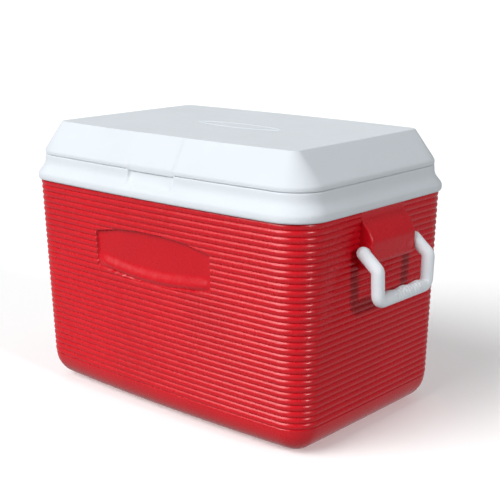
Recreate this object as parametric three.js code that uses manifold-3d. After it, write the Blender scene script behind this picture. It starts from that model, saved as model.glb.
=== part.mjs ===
// Insulated picnic cooler of about 45 litres: a ribbed moulded tub with a white rolled collar,
// a foam-filled bevelled lid on two rear hinges, a swing handle at each end and a drain with a plug.
// Millimetres. +X is the long side, the front faces -Y, +Z is up, and the origin is on the floor
// under the middle of the cooler.

import * as THREE from 'three';
import { mergeVertices } from 'three/addons/utils/BufferGeometryUtils.js';
import Module from 'manifold-3d';

const wasm = await Module();
wasm.setup();

// ---------- driving dimensions ----------

const GAP = 0.3;
const FOAM_GAP = 1;

// Plan sections: half length x, half width y, corner radius r, and bow 1 where the sides bow out.
const BASE = { x: 275.4, y: 177.5, r: 38, bow: 1 };
const WALL_TOP = { x: 286, y: 190.4, r: 50, bow: 1 };
const BEAD = { x: 291, y: 195, r: 54, bow: 1 };
const SEAM = { x: 281, y: 183, r: 47, bow: 1 };
const LID_TOP = { x: 246, y: 157, r: 12, bow: 1 };
const MOUTH = { x: 250, y: 151, r: 38, bow: 0 };
const TUB_FLOOR = { x: 240, y: 140, r: 30, bow: 0 };
const FRONT_BOW = 8.5;
const END_BOW = 1;

// Heights.
const LIP_Z = 340;
const BEAD_LOW_Z = 343;
const BEAD_HIGH_Z = 349;
const DECK_Z = 379.8;
const LID_RIM_Z = 380.2;
const LID_SKIRT_Z = 387;
const LID_TOP_Z = 432;
const FLOOR_Z = 40;
const BASE_FILLET = 42;

// Sheet thicknesses.
const SHELL_SKIN = 4.2;
const BASE_SKIN = 4;
const LINER_SKIN = 3;
const LINER_FILLET = 15;
const LID_SKIN = 3;

// The collar's slope above its bead: each height, with how far out it stands from SEAM to BEAD.
const COLLAR_SLOPE = [[352.5, 0.85], [358, 0.46], [369, 0.06]];
const COLLAR_OVERHANG = 2.5;

// Ribs round the tub.
const RIB_COUNT = 32;
const RIB_PITCH = 9.27;
const RIB_TOP_Z = 335.2;
const RIB_HALF_HEIGHT = 0.8;

// The tub's upper edge, which hides inside the collar.
const REBATE = 3.2;
const REBATE_SKIN = 2.8;
const SHELL_TOP_Z = 350;
const REBATE_FOOT_Z = 332;

// Lens-shaped recess in the front wall.
const PANEL_HALF = 121.5;
const PANEL_SIDE_LOW_Z = 222;
const PANEL_SIDE_HIGH_Z = 276;
const PANEL_LOW_Z = 211;
const PANEL_HIGH_Z = 290;
const PANEL_DEPTH = 4.6;
const PANEL_WALL = 3.2;
const PANEL_MARGIN = 5;

// Handle bosses and swing handles, drawn for the +X end.
const BOSS_HALF = 53.5;
const BOSS_PROFILE = [
  [280, 337], [287.5, 337], [306.5, 301], [307.5, 297], [307.5, 272], [305, 267], [300, 264], [280, 256],
];
const PIVOT = { x: 299, z: 285 };
const ARM_Y = 64;
const GRIP_CORNER_Y = 61.3;
const ARM_BEND = { x: 324, z: 264 };
const GRIP_Z = 218.7;
const HANDLE_R = 9.5;
const HANDLE_BEND_REACH = 12;
const STUB_R = 5;
const STUB_END_Y = 44;
const SOCKET_R = 5.6;

// Thumb notch in the collar and the lid's thumb dip above it. The outlines are (y, z).
const NOTCH_HALF = 46.5;
const NOTCH_WALL = 3;
const NOTCH_BACKING = [
  [-172, 378], [-184, 378], [-185.5, 366], [-191, 354],
  [-189, 351.5], [-183, 353.5], [-176, 364], [-172, 372],
];
const NOTCH_SCOOP = [
  [-176, 388], [-176, 377], [-177.5, 370], [-181, 363],
  [-185.5, 357.5], [-191.5, 354.2], [-205, 354.2], [-205, 388],
];
const DIP_HALF = 44.5;
const DIP_WALL = 3;
const DIP_SCOOP = [
  [-200, 376.5], [-179.2, 376.5], [-179.2, 387], [-153.2, 432], [-153.2, 440], [-200, 440],
];
const DIP_BACKING = [
  [-182, LID_RIM_Z], [-175.2, LID_RIM_Z], [-175.2, 386], [-149.5, 430.4], [-156, 430.4], [-182, 387],
];
const DIP_TAB = [[-182, 377.6], [-177, 377.6], [-177, 381], [-182, 381]];
const DIP_ROOM = [
  [-200, 376], [-174.8, 376], [-174.8, 385.8], [-149, 430.3], [-149, 440], [-200, 440],
];

// The lid's plug, which drops into the mouth.
const PLUG_SLACK = 3;
const PLUG_TAPER = 3;
const PLUG_EDGE = 6;
const PLUG_LOW_Z = 360;
const LID_PAN_Z = 383.4;

// Rear hinges.
const HINGE_XS = { left: -150, right: 150 };
const HINGE_AXIS = { y: 191.2, z: 380.2 };
const HINGE_PAD_Y = 187.4;
const HINGE_PAD_HALF = 27;
const BODY_PAD_ROOT_Y = 179;
const BODY_PAD_LOW_Z = 360;
const LID_PAD_PROFILE = [
  [HINGE_PAD_Y, 384.8], [HINGE_PAD_Y, 399], [184, 402.5], [169.8, 403], [178.7, 387.5], [178.7, 384.8],
];
const BODY_LEAF_Z = [361.5, 379];
const LID_LEAF_Z = [381.4, 398.5];
const LEAF_HALF = 23;
const LEAF_THICK = 2;
const LEAF_FACE_Y = HINGE_PAD_Y + GAP + LEAF_THICK;
const KNUCKLE_R = 3.3;
const KNUCKLE_CLEAR_R = 3.8;
const MIDDLE_KNUCKLE_HALF = 9.6;
const OUTER_KNUCKLE_START = 10;
const PIN_R = 1.3;
const PIN_BORE_R = 1.6;
const BODY_SCREW_Z = 369;
const LID_SCREW_Z = 392;
const SCREW_OFFSET = 14;
const SCREW_R = 1.6;
const SCREW_HOLE_R = 1.9;
const SCREW_HEAD_R = 3.4;
const SCREW_HEAD_TALL = 1.6;
const SCREW_TIP_Y = 181.6;

// Drain, low on the -X end.
const DRAIN_Z = 60;
const DRAIN_PAD_R = 20;
const DRAIN_FACE_X = -280.5;
const DRAIN_PAD_ROOT_X = -273;
const DRAIN_INNER_PAD_R = 16;
const DRAIN_INNER_FACE_X = -234.5;
const DRAIN_INNER_ROOT_X = -246;
const DRAIN_HOLE_FROM_X = -320;
const DRAIN_HOLE_TO_X = -200;
const SPOUT_R = 9;
const SPOUT_BORE_R = 6.5;
const SPOUT_HOLE_R = 9.4;
const FLANGE_R = 17;
const FLANGE_THICK = 3;
const GASKET_THICK = 2;
const NUT_R = 14.5;
const NUT_THICK = 6;
const PLUG_STEM_R = 6.1;
const PLUG_CAP_R = 12;
const PLUG_CAP_THICK = 4;

// ---------- materials ----------

const plastic = (color, roughness) => new THREE.MeshStandardMaterial({ color, roughness, metalness: 0 });
const RED_PLASTIC = plastic(0xd01828, 0.42);
const WHITE_PLASTIC = plastic(0xe8eef3, 0.45);
const FOAM = plastic(0xf2e6c4, 0.95);
const RUBBER = plastic(0x2a2a2c, 0.8);
const STEEL = new THREE.MeshStandardMaterial({ color: 0xb8bcc0, roughness: 0.3, metalness: 1 });

// ---------- solids ----------

// Leaves only shared positions, and turns the faces outward.
function closedGeometry(source) {
  const bare = source.clone();
  bare.deleteAttribute('normal');
  bare.deleteAttribute('uv');
  const geometry = mergeVertices(bare, 1e-4);
  const index = geometry.index.array;
  const places = geometry.attributes.position;
  const corner = (i) => new THREE.Vector3().fromBufferAttribute(places, index[i]);
  let volume = 0;
  for (let i = 0; i < index.length; i += 3) {
    volume += corner(i).dot(corner(i + 1).cross(corner(i + 2)));
  }
  if (volume < 0) {
    for (let i = 0; i < index.length; i += 3) {
      [index[i], index[i + 1]] = [index[i + 1], index[i]];
    }
  }
  return geometry;
}

function solid(source) {
  const geometry = closedGeometry(source);
  return new wasm.Manifold(new wasm.Mesh({
    numProp: 3,
    vertProperties: Float32Array.from(geometry.attributes.position.array),
    triVerts: Uint32Array.from(geometry.index.array),
  }));
}

function geometryOf(manifold) {
  const mesh = manifold.getMesh();
  const geometry = new THREE.BufferGeometry();
  geometry.setAttribute('position', new THREE.BufferAttribute(mesh.vertProperties, 3));
  geometry.setIndex(new THREE.BufferAttribute(mesh.triVerts, 1));
  return geometry;
}

const cooler = new THREE.Group();

function addPiece(name, manifold, material) {
  const mesh = new THREE.Mesh(geometryOf(manifold), material);
  mesh.name = name;
  cooler.add(mesh);
}

// ---------- plan sections and lofts ----------

const CORNER_STEPS = 5;
const LONG_STEPS = 4;
const SHORT_STEPS = 2;

const grow = (section, by) => ({
  x: section.x + by,
  y: section.y + by,
  r: Math.max(section.r + by, 4),
  bow: section.bow,
});

const mix = (from, to, share) => ({
  x: THREE.MathUtils.lerp(from.x, to.x, share),
  y: THREE.MathUtils.lerp(from.y, to.y, share),
  r: THREE.MathUtils.lerp(from.r, to.r, share),
  bow: THREE.MathUtils.lerp(from.bow, to.bow, share),
});

// The tub's outer wall at a height, from its drafted sides.
const wallAt = (z) => mix(BASE, WALL_TOP, z / LIP_Z);

// One level of a loft: a rounded rectangle whose four sides may bow outward a little.
function ring(section, z) {
  const points = [];
  const signs = [[1, 1], [-1, 1], [-1, -1], [1, -1]];
  const flatX = section.x - section.r;
  const flatY = section.y - section.r;
  signs.forEach(([signX, signY], quarter) => {
    for (let step = 0; step <= CORNER_STEPS; step += 1) {
      const angle = (quarter + step / CORNER_STEPS) * Math.PI / 2;
      const x = signX * flatX + section.r * Math.cos(angle);
      const y = signY * flatY + section.r * Math.sin(angle);
      points.push([x, y]);
    }
    const sideIsLong = quarter % 2 === 0;
    const steps = sideIsLong ? LONG_STEPS : SHORT_STEPS;
    for (let step = 1; step < steps; step += 1) {
      const along = 1 - 2 * step / steps;
      points.push(sideIsLong
        ? [signX * flatX * along, signY * section.y]
        : [signX * section.x, signY * flatY * along]);
    }
  });
  return points.map(([x, y]) => {
    const bowY = section.bow * FRONT_BOW * (x / section.x) ** 2 * (y / section.y);
    const bowX = section.bow * END_BOW * (y / section.y) ** 2 * (x / section.x);
    return [x - bowX, y - bowY, z];
  });
}

// Skins the levels in order and closes the first one downward and the last one upward. Levels that
// rise, turn over a rim and come down again make an open tub of one thickness.
function loft(levels) {
  const rings = levels.map(([section, z]) => ring(section, z));
  const count = rings[0].length;
  const positions = rings.flat(2);
  const triangles = [];
  for (let level = 0; level + 1 < rings.length; level += 1) {
    for (let i = 0; i < count; i += 1) {
      const next = (i + 1) % count;
      const low = level * count;
      const high = low + count;
      triangles.push(low + i, low + next, high + next, low + i, high + next, high + i);
    }
  }
  const lastRing = (rings.length - 1) * count;
  const lowCentre = rings.length * count;
  positions.push(0, 0, levels[0][1], 0, 0, levels.at(-1)[1]);
  for (let i = 0; i < count; i += 1) {
    const next = (i + 1) % count;
    triangles.push(lowCentre, next, i, lowCentre + 1, lastRing + i, lastRing + next);
  }
  const geometry = new THREE.BufferGeometry();
  geometry.setAttribute('position', new THREE.Float32BufferAttribute(positions, 3));
  geometry.setIndex(triangles);
  return solid(geometry);
}

// ---------- simple solids ----------

// A closed outline in (Y, Z), extruded along X between two places.
function crossPrism(outline, fromX, toX) {
  const shape = new THREE.Shape(outline.map(([y, z]) => new THREE.Vector2(y, z)));
  const geometry = new THREE.ExtrudeGeometry(shape, { depth: toX - fromX, bevelEnabled: false });
  geometry.applyMatrix4(new THREE.Matrix4().set(
    0, 0, 1, fromX,
    1, 0, 0, 0,
    0, 1, 0, 0,
    0, 0, 0, 1,
  ));
  return solid(geometry);
}

function block(from, to) {
  const size = to.map((value, i) => value - from[i]);
  const geometry = new THREE.BoxGeometry(...size);
  geometry.translate(...from.map((value, i) => value + size[i] / 2));
  return solid(geometry);
}

// A turned solid: profile points are (radius, distance along the axis).
function turned(profile, axis, origin, sides = 20) {
  const geometry = new THREE.LatheGeometry(profile.map(([r, along]) => new THREE.Vector2(r, along)), sides);
  const direction = new THREE.Vector3(...axis);
  const turn = new THREE.Quaternion().setFromUnitVectors(new THREE.Vector3(0, 1, 0), direction);
  geometry.applyQuaternion(turn);
  geometry.translate(...origin);
  return solid(geometry);
}

const rod = (radius, from, to, axis, origin, sides = 20) => turned(
  [[0, from], [radius, from], [radius, to], [0, to]], axis, origin, sides);

const X_AXIS = [1, 0, 0];
const Y_AXIS = [0, 1, 0];
const DRAIN_CENTRE = [0, 0, DRAIN_Z];

const drainHole = () => rod(SPOUT_HOLE_R, DRAIN_HOLE_FROM_X, DRAIN_HOLE_TO_X, X_AXIS, DRAIN_CENTRE);

// ---------- outer shell ----------

// Levels of a fillet round a bottom edge, from the flat bottom up to the wall.
function filletLevels(radius, bottomZ, wall, steps = 4) {
  const levels = [];
  for (let step = 0; step <= steps; step += 1) {
    const angle = (step / steps) * Math.PI / 2;
    const z = bottomZ + radius * (1 - Math.cos(angle));
    levels.push([grow(wall(z), -radius * (1 - Math.sin(angle))), z]);
  }
  return levels;
}

function ribLevels() {
  const levels = [];
  for (let rib = 0; rib < RIB_COUNT; rib += 1) {
    const crestZ = RIB_TOP_Z - (RIB_COUNT - 1 - rib) * RIB_PITCH;
    const valleyZ = crestZ - RIB_PITCH / 2;
    levels.push([grow(wallAt(valleyZ), -RIB_HALF_HEIGHT), valleyZ]);
    levels.push([grow(wallAt(crestZ), RIB_HALF_HEIGHT), crestZ]);
  }
  return levels;
}

// Places a front outline, drawn in (X, Z), between two depths behind the drafted front wall.
function frontPrism(outline, outerDepth, innerDepth) {
  const geometry = new THREE.ExtrudeGeometry(outline, {
    depth: innerDepth - outerDepth,
    bevelEnabled: false,
    curveSegments: 8,
  });
  const position = geometry.attributes.position;
  for (let i = 0; i < position.count; i += 1) {
    const z = position.getY(i);
    const depth = outerDepth + position.getZ(i);
    position.setXYZ(i, position.getX(i), depth - wallAt(z).y, z);
  }
  return solid(geometry);
}

// A flat-sided lens: straight ends, and arched top and bottom edges.
function panelOutline(margin) {
  const half = PANEL_HALF + margin;
  const low = PANEL_SIDE_LOW_Z - margin;
  const high = PANEL_SIDE_HIGH_Z + margin;
  const topControl = 2 * (PANEL_HIGH_Z + margin) - high;
  const bottomControl = 2 * (PANEL_LOW_Z - margin) - low;
  const shape = new THREE.Shape();
  shape.moveTo(-half, low);
  shape.quadraticCurveTo(0, bottomControl, half, low);
  shape.lineTo(half, high);
  shape.quadraticCurveTo(0, topControl, -half, high);
  shape.closePath();
  return shape;
}

// A wedge that slopes out from under the collar and carries the handle's two sockets.
function handleBoss(side) {
  const shape = new THREE.Shape(BOSS_PROFILE.map(([x, z]) => new THREE.Vector2(x, z)));
  const geometry = new THREE.ExtrudeGeometry(shape, { depth: 2 * BOSS_HALF, bevelEnabled: false });
  geometry.applyMatrix4(new THREE.Matrix4().set(
    side, 0, 0, 0,
    0, 0, 1, -BOSS_HALF,
    0, 1, 0, 0,
    0, 0, 0, 1,
  ));
  const centre = [side * PIVOT.x, 0, PIVOT.z];
  const past = BOSS_HALF + 2;
  return solid(geometry)
    .subtract(rod(SOCKET_R, STUB_END_Y - 1, past, Y_AXIS, centre))
    .subtract(rod(SOCKET_R, -past, 1 - STUB_END_Y, Y_AXIS, centre));
}

function outerShell() {
  const rebate = grow(WALL_TOP, -REBATE);
  const rebateInside = grow(rebate, -REBATE_SKIN);
  const insideWall = (z) => grow(wallAt(z), -SHELL_SKIN);
  const lastValleyZ = LIP_Z - 0.5;
  const tub = loft([
    ...filletLevels(BASE_FILLET, 0, wallAt),
    ...ribLevels(),
    [grow(wallAt(lastValleyZ), -RIB_HALF_HEIGHT), lastValleyZ],
    [rebate, lastValleyZ],
    [rebate, SHELL_TOP_Z],
    [rebateInside, SHELL_TOP_Z],
    [rebateInside, REBATE_FOOT_Z],
    ...filletLevels(BASE_FILLET - SHELL_SKIN, BASE_SKIN, insideWall, 3).reverse(),
  ]);
  return tub
    .add(frontPrism(panelOutline(PANEL_MARGIN), 2, PANEL_DEPTH + PANEL_WALL))
    .subtract(frontPrism(panelOutline(0), -20, PANEL_DEPTH))
    .add(handleBoss(1))
    .add(handleBoss(-1))
    .add(rod(DRAIN_PAD_R, DRAIN_FACE_X, DRAIN_PAD_ROOT_X, X_AXIS, DRAIN_CENTRE))
    .subtract(drainHole());
}

// ---------- liner with its rolled collar ----------

const insideAt = (z) => mix(TUB_FLOOR, MOUTH, (z - FLOOR_Z) / (DECK_Z - FLOOR_Z));

function innerLiner() {
  const outsideAt = (z) => grow(insideAt(z), LINER_SKIN);
  const deckUnderZ = DECK_Z - LINER_SKIN;
  const sheet = loft([
    ...filletLevels(LINER_FILLET + LINER_SKIN, FLOOR_Z - LINER_SKIN, outsideAt, 3),
    [outsideAt(deckUnderZ), deckUnderZ],
    [grow(SEAM, -LINER_SKIN), deckUnderZ],
    ...COLLAR_SLOPE.slice(1).reverse().map(([z, out]) => [grow(mix(SEAM, BEAD, out), -LINER_SKIN), z - 1]),
    [grow(BEAD, -LINER_SKIN), BEAD_HIGH_Z],
    [grow(BEAD, -LINER_SKIN), BEAD_LOW_Z],
    [grow(BEAD, -LINER_SKIN - 2), LIP_Z],
    [grow(BEAD, -COLLAR_OVERHANG), LIP_Z],
    [BEAD, BEAD_LOW_Z],
    [BEAD, BEAD_HIGH_Z],
    ...COLLAR_SLOPE.map(([z, out]) => [mix(SEAM, BEAD, out), z]),
    [SEAM, DECK_Z - 1],
    [grow(SEAM, -1), DECK_Z],
    [grow(MOUTH, 3), DECK_Z],
    [insideAt(DECK_Z - 3), DECK_Z - 3],
    ...filletLevels(LINER_FILLET, FLOOR_Z, insideAt, 3).reverse(),
  ]);
  const notchBacking = crossPrism(NOTCH_BACKING, -NOTCH_HALF - NOTCH_WALL, NOTCH_HALF + NOTCH_WALL);
  const notchScoop = crossPrism(NOTCH_SCOOP, -NOTCH_HALF, NOTCH_HALF);
  let liner = sheet
    .add(notchBacking)
    .subtract(notchScoop)
    .add(rod(DRAIN_INNER_PAD_R, DRAIN_INNER_ROOT_X, DRAIN_INNER_FACE_X, X_AXIS, DRAIN_CENTRE))
    .subtract(drainHole());
  Object.values(HINGE_XS).forEach((x) => {
    liner = liner
      .add(block(
        [x - HINGE_PAD_HALF, BODY_PAD_ROOT_Y, BODY_PAD_LOW_Z], [x + HINGE_PAD_HALF, HINGE_PAD_Y, DECK_Z]))
      .subtract(screwHoles(x, BODY_SCREW_Z));
  });
  return liner;
}

function tubFoam() {
  const outside = (z) => grow(wallAt(z), -SHELL_SKIN - FOAM_GAP);
  const underRebate = grow(WALL_TOP, -REBATE - REBATE_SKIN - FOAM_GAP);
  const inside = (z) => grow(insideAt(z), LINER_SKIN + GAP);
  const fillet = BASE_FILLET - SHELL_SKIN - FOAM_GAP;
  return loft([
    ...filletLevels(fillet, BASE_SKIN + FOAM_GAP, outside, 3),
    [underRebate, REBATE_FOOT_Z - 2],
    [underRebate, SHELL_TOP_Z],
    [inside(SHELL_TOP_Z), SHELL_TOP_Z],
    ...filletLevels(LINER_FILLET + LINER_SKIN + GAP, FLOOR_Z - LINER_SKIN - GAP, inside, 3).reverse(),
  ])
    .subtract(frontPrism(panelOutline(PANEL_MARGIN + 1), -20, PANEL_DEPTH + PANEL_WALL + GAP))
    .subtract(rod(DRAIN_INNER_PAD_R + GAP, DRAIN_INNER_ROOT_X - GAP, DRAIN_HOLE_TO_X, X_AXIS, DRAIN_CENTRE))
    .subtract(drainHole());
}

// ---------- lid ----------

const lidAt = (z) => mix(SEAM, LID_TOP, (z - LID_SKIRT_Z) / (LID_TOP_Z - LID_SKIRT_Z));

function screwHoles(hingeX, z) {
  const hole = (x) => rod(SCREW_HOLE_R, SCREW_TIP_Y - GAP, LEAF_FACE_Y + 2, Y_AXIS, [x, 0, z], 12);
  return hole(hingeX - SCREW_OFFSET).add(hole(hingeX + SCREW_OFFSET));
}

function lidShell() {
  const slopeSkin = LID_SKIN + 0.6;
  const ceilingZ = LID_TOP_Z - LID_SKIN;
  const sheet = loft([
    [grow(lidAt(ceilingZ), -slopeSkin - 3), ceilingZ],
    [grow(lidAt(ceilingZ - 3), -slopeSkin), ceilingZ - 3],
    [grow(SEAM, -LID_SKIN), LID_SKIRT_Z],
    [grow(SEAM, -LID_SKIN), LID_RIM_Z],
    [grow(SEAM, -1), LID_RIM_Z],
    [SEAM, LID_RIM_Z + 1.2],
    [SEAM, LID_SKIRT_Z - 1.5],
    [lidAt(LID_SKIRT_Z + 2), LID_SKIRT_Z + 2],
    [lidAt(LID_TOP_Z - 5), LID_TOP_Z - 5],
    [grow(lidAt(LID_TOP_Z - 1.5), -1.2), LID_TOP_Z - 1.5],
    [grow(LID_TOP, -4.5), LID_TOP_Z],
  ]);
  let shell = sheet
    .add(crossPrism(DIP_BACKING, -DIP_HALF - DIP_WALL, DIP_HALF + DIP_WALL))
    .add(crossPrism(DIP_TAB, -DIP_HALF, DIP_HALF))
    .subtract(crossPrism(DIP_SCOOP, -DIP_HALF, DIP_HALF));
  Object.values(HINGE_XS).forEach((x) => {
    shell = shell
      .add(crossPrism(LID_PAD_PROFILE, x - HINGE_PAD_HALF, x + HINGE_PAD_HALF))
      .subtract(screwHoles(x, LID_SCREW_Z));
  });
  return shell;
}

// Room for the dip's backing, which the lid's inner pieces leave free.
const dipRoom = () => crossPrism(DIP_ROOM, -DIP_HALF - DIP_WALL - GAP, DIP_HALF + DIP_WALL + GAP);

const plugTop = grow(MOUTH, -PLUG_SLACK);
const plugBottom = grow(MOUTH, -PLUG_SLACK - PLUG_TAPER);

function lidLiner() {
  const rim = grow(SEAM, -LID_SKIN - GAP);
  const panFloorZ = PLUG_LOW_Z + LID_SKIN;
  return loft([
    [grow(plugBottom, -PLUG_EDGE), PLUG_LOW_Z],
    [plugBottom, PLUG_LOW_Z + 5],
    [plugTop, LID_RIM_Z],
    [rim, LID_RIM_Z],
    [rim, LID_PAN_Z],
    [grow(plugTop, -LID_SKIN), LID_PAN_Z],
    [grow(plugBottom, -LID_SKIN), PLUG_LOW_Z + 6.5],
    [grow(plugBottom, -LID_SKIN - PLUG_EDGE), panFloorZ],
  ]).subtract(dipRoom());
}

function lidFoam() {
  const slopeSkin = LID_SKIN + 1.6;
  const ceilingZ = LID_TOP_Z - LID_SKIN - GAP;
  const panTopZ = LID_PAN_Z + GAP;
  return loft([
    [grow(plugBottom, -LID_SKIN - PLUG_EDGE - GAP), PLUG_LOW_Z + LID_SKIN + GAP],
    [grow(plugBottom, -LID_SKIN - GAP), PLUG_LOW_Z + 6.5],
    [grow(plugTop, -LID_SKIN - GAP), panTopZ],
    [grow(SEAM, -slopeSkin), panTopZ],
    [grow(SEAM, -slopeSkin), LID_SKIRT_Z],
    [grow(lidAt(ceilingZ - 4), -slopeSkin), ceilingZ - 4],
    [grow(lidAt(ceilingZ), -slopeSkin - 3), ceilingZ],
  ]).subtract(dipRoom());
}

// ---------- hinges ----------

// A leaf is a plate with knuckles on its edge. The plate is cut clear of the other leaf's knuckles.
function hingeLeaf(hingeX, [plateLowZ, plateHighZ], knuckles, otherKnuckles, screwZ) {
  const axisLine = [hingeX, HINGE_AXIS.y, HINGE_AXIS.z];
  let leaf = block(
    [hingeX - LEAF_HALF, HINGE_PAD_Y + GAP, plateLowZ], [hingeX + LEAF_HALF, LEAF_FACE_Y, plateHighZ]);
  otherKnuckles.forEach(([from, to]) => {
    leaf = leaf.subtract(rod(KNUCKLE_CLEAR_R, from - 0.4, to + 0.4, X_AXIS, axisLine, 16));
  });
  knuckles.forEach(([from, to]) => {
    leaf = leaf.add(rod(KNUCKLE_R, from, to, X_AXIS, axisLine, 16));
  });
  return leaf
    .subtract(rod(PIN_BORE_R, -LEAF_HALF - 1, LEAF_HALF + 1, X_AXIS, axisLine, 12))
    .subtract(screwHoles(hingeX, screwZ));
}

function hingePin(hingeX) {
  const shaft = LEAF_HALF + GAP;
  const end = shaft + 1.2;
  const headR = 2.4;
  return turned([
    [0, -end], [headR, -end], [headR, -shaft], [PIN_R, -shaft],
    [PIN_R, shaft], [headR, shaft], [headR, end], [0, end],
  ], X_AXIS, [hingeX, HINGE_AXIS.y, HINGE_AXIS.z], 12);
}

function hingeScrew(x, z) {
  const seatY = LEAF_FACE_Y + GAP / 3;
  return turned([
    [0, SCREW_TIP_Y], [SCREW_R, SCREW_TIP_Y + 1.5], [SCREW_R, seatY], [SCREW_HEAD_R, seatY],
    [SCREW_HEAD_R * 0.8, seatY + SCREW_HEAD_TALL * 0.7], [0, seatY + SCREW_HEAD_TALL],
  ], Y_AXIS, [x, 0, z], 12);
}

function addHinge(side, hingeX) {
  const middle = [[-MIDDLE_KNUCKLE_HALF, MIDDLE_KNUCKLE_HALF]];
  const outer = [[-LEAF_HALF, -OUTER_KNUCKLE_START], [OUTER_KNUCKLE_START, LEAF_HALF]];
  const bodyLeaf = hingeLeaf(hingeX, BODY_LEAF_Z, outer, middle, BODY_SCREW_Z);
  const lidLeaf = hingeLeaf(hingeX, LID_LEAF_Z, middle, outer, LID_SCREW_Z);
  addPiece(`hinge_leaf_body_${side}`, bodyLeaf, WHITE_PLASTIC);
  addPiece(`hinge_leaf_lid_${side}`, lidLeaf, WHITE_PLASTIC);
  addPiece(`hinge_pin_${side}`, hingePin(hingeX), STEEL);
  [['body', BODY_SCREW_Z], ['lid', LID_SCREW_Z]].forEach(([leaf, z]) => {
    [['a', -SCREW_OFFSET], ['b', SCREW_OFFSET]].forEach(([letter, offset]) => {
      addPiece(`screw_${leaf}_${side}_${letter}`, hingeScrew(hingeX + offset, z), STEEL);
    });
  });
}

// ---------- swing handles ----------

// The bail's centre line: straight runs joined by curves of the given reach.
function roundedPath(corners, reach) {
  const path = new THREE.CurvePath();
  const along = (from, to) => to.clone().sub(from).setLength(reach);
  let start = corners[0];
  for (let i = 1; i + 1 < corners.length; i += 1) {
    const before = corners[i].clone().sub(along(corners[i - 1], corners[i]));
    const after = corners[i].clone().add(along(corners[i], corners[i + 1]));
    path.add(new THREE.LineCurve3(start, before));
    path.add(new THREE.QuadraticBezierCurve3(before, corners[i], after));
    start = after;
  }
  path.add(new THREE.LineCurve3(start, corners.at(-1)));
  return path;
}

function swingHandle(side) {
  const at = (x, y, z) => new THREE.Vector3(side * x, y, z);
  const corners = [
    at(PIVOT.x, -ARM_Y, PIVOT.z),
    at(ARM_BEND.x, -ARM_Y, ARM_BEND.z),
    at(ARM_BEND.x, -GRIP_CORNER_Y, GRIP_Z),
    at(ARM_BEND.x, GRIP_CORNER_Y, GRIP_Z),
    at(ARM_BEND.x, ARM_Y, ARM_BEND.z),
    at(PIVOT.x, ARM_Y, PIVOT.z),
  ];
  const section = new THREE.Shape().absarc(0, 0, HANDLE_R, 0, 2 * Math.PI);
  const bail = new THREE.ExtrudeGeometry(section, {
    steps: 34,
    curveSegments: 5,
    bevelEnabled: false,
    extrudePath: roundedPath(corners, HANDLE_BEND_REACH),
  });
  let handle = solid(bail);
  [-1, 1].forEach((end) => {
    const knob = new THREE.SphereGeometry(HANDLE_R, 10, 7);
    knob.translate(side * PIVOT.x, end * ARM_Y, PIVOT.z);
    const stub = end > 0 ? [STUB_END_Y, ARM_Y] : [-ARM_Y, -STUB_END_Y];
    handle = handle
      .add(solid(knob))
      .add(rod(STUB_R, ...stub, Y_AXIS, [side * PIVOT.x, 0, PIVOT.z]));
  });
  return handle;
}

// ---------- drain ----------

const flangeInnerX = DRAIN_FACE_X - GAP - GASKET_THICK - GAP;
const flangeOuterX = flangeInnerX - FLANGE_THICK;
const spoutEndX = DRAIN_INNER_FACE_X + NUT_THICK + 2;

function drainSpout() {
  return turned([
    [SPOUT_BORE_R, flangeOuterX], [FLANGE_R - 1.5, flangeOuterX], [FLANGE_R, flangeOuterX + 1.5],
    [FLANGE_R, flangeInnerX], [SPOUT_R, flangeInnerX], [SPOUT_R, spoutEndX], [SPOUT_BORE_R, spoutEndX],
    [SPOUT_BORE_R, flangeOuterX],
  ], X_AXIS, DRAIN_CENTRE);
}

function drainGasket() {
  const outerX = flangeInnerX + GAP;
  const innerX = outerX + GASKET_THICK;
  const outerR = FLANGE_R - 1;
  return turned([
    [SPOUT_HOLE_R, outerX], [outerR, outerX],
    [outerR, innerX], [SPOUT_HOLE_R, innerX], [SPOUT_HOLE_R, outerX],
  ], X_AXIS, DRAIN_CENTRE);
}

function drainNut() {
  const faceX = DRAIN_INNER_FACE_X + GAP;
  const hexagon = rod(NUT_R, faceX, faceX + NUT_THICK, X_AXIS, DRAIN_CENTRE, 6);
  return hexagon.subtract(rod(SPOUT_HOLE_R, faceX - 1, faceX + NUT_THICK + 1, X_AXIS, DRAIN_CENTRE));
}

function drainPlug() {
  const capInnerX = flangeOuterX - GAP;
  const capOuterX = capInnerX - PLUG_CAP_THICK;
  const stemEndX = capInnerX + 18;
  return turned([
    [0, capOuterX - 1], [PLUG_CAP_R - 2, capOuterX], [PLUG_CAP_R, capOuterX + 1.5], [PLUG_CAP_R, capInnerX],
    [PLUG_STEM_R, capInnerX], [PLUG_STEM_R, stemEndX - 2], [PLUG_STEM_R - 1.5, stemEndX], [0, stemEndX],
  ], X_AXIS, DRAIN_CENTRE);
}

// ---------- assembly ----------

addPiece('outer_shell', outerShell(), RED_PLASTIC);
addPiece('inner_liner', innerLiner(), WHITE_PLASTIC);
addPiece('tub_foam', tubFoam(), FOAM);
addPiece('lid_shell', lidShell(), WHITE_PLASTIC);
addPiece('lid_liner', lidLiner(), WHITE_PLASTIC);
addPiece('lid_foam', lidFoam(), FOAM);
addPiece('handle_right', swingHandle(1), WHITE_PLASTIC);
addPiece('handle_left', swingHandle(-1), WHITE_PLASTIC);
addPiece('drain_spout', drainSpout(), WHITE_PLASTIC);
addPiece('drain_gasket', drainGasket(), RUBBER);
addPiece('drain_nut', drainNut(), WHITE_PLASTIC);
addPiece('drain_plug', drainPlug(), WHITE_PLASTIC);
Object.entries(HINGE_XS).forEach(([side, x]) => addHinge(side, x));

export default cooler;
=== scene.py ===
import math

import bmesh
import bpy
import numpy as np
from mathutils import Matrix, Vector


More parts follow.
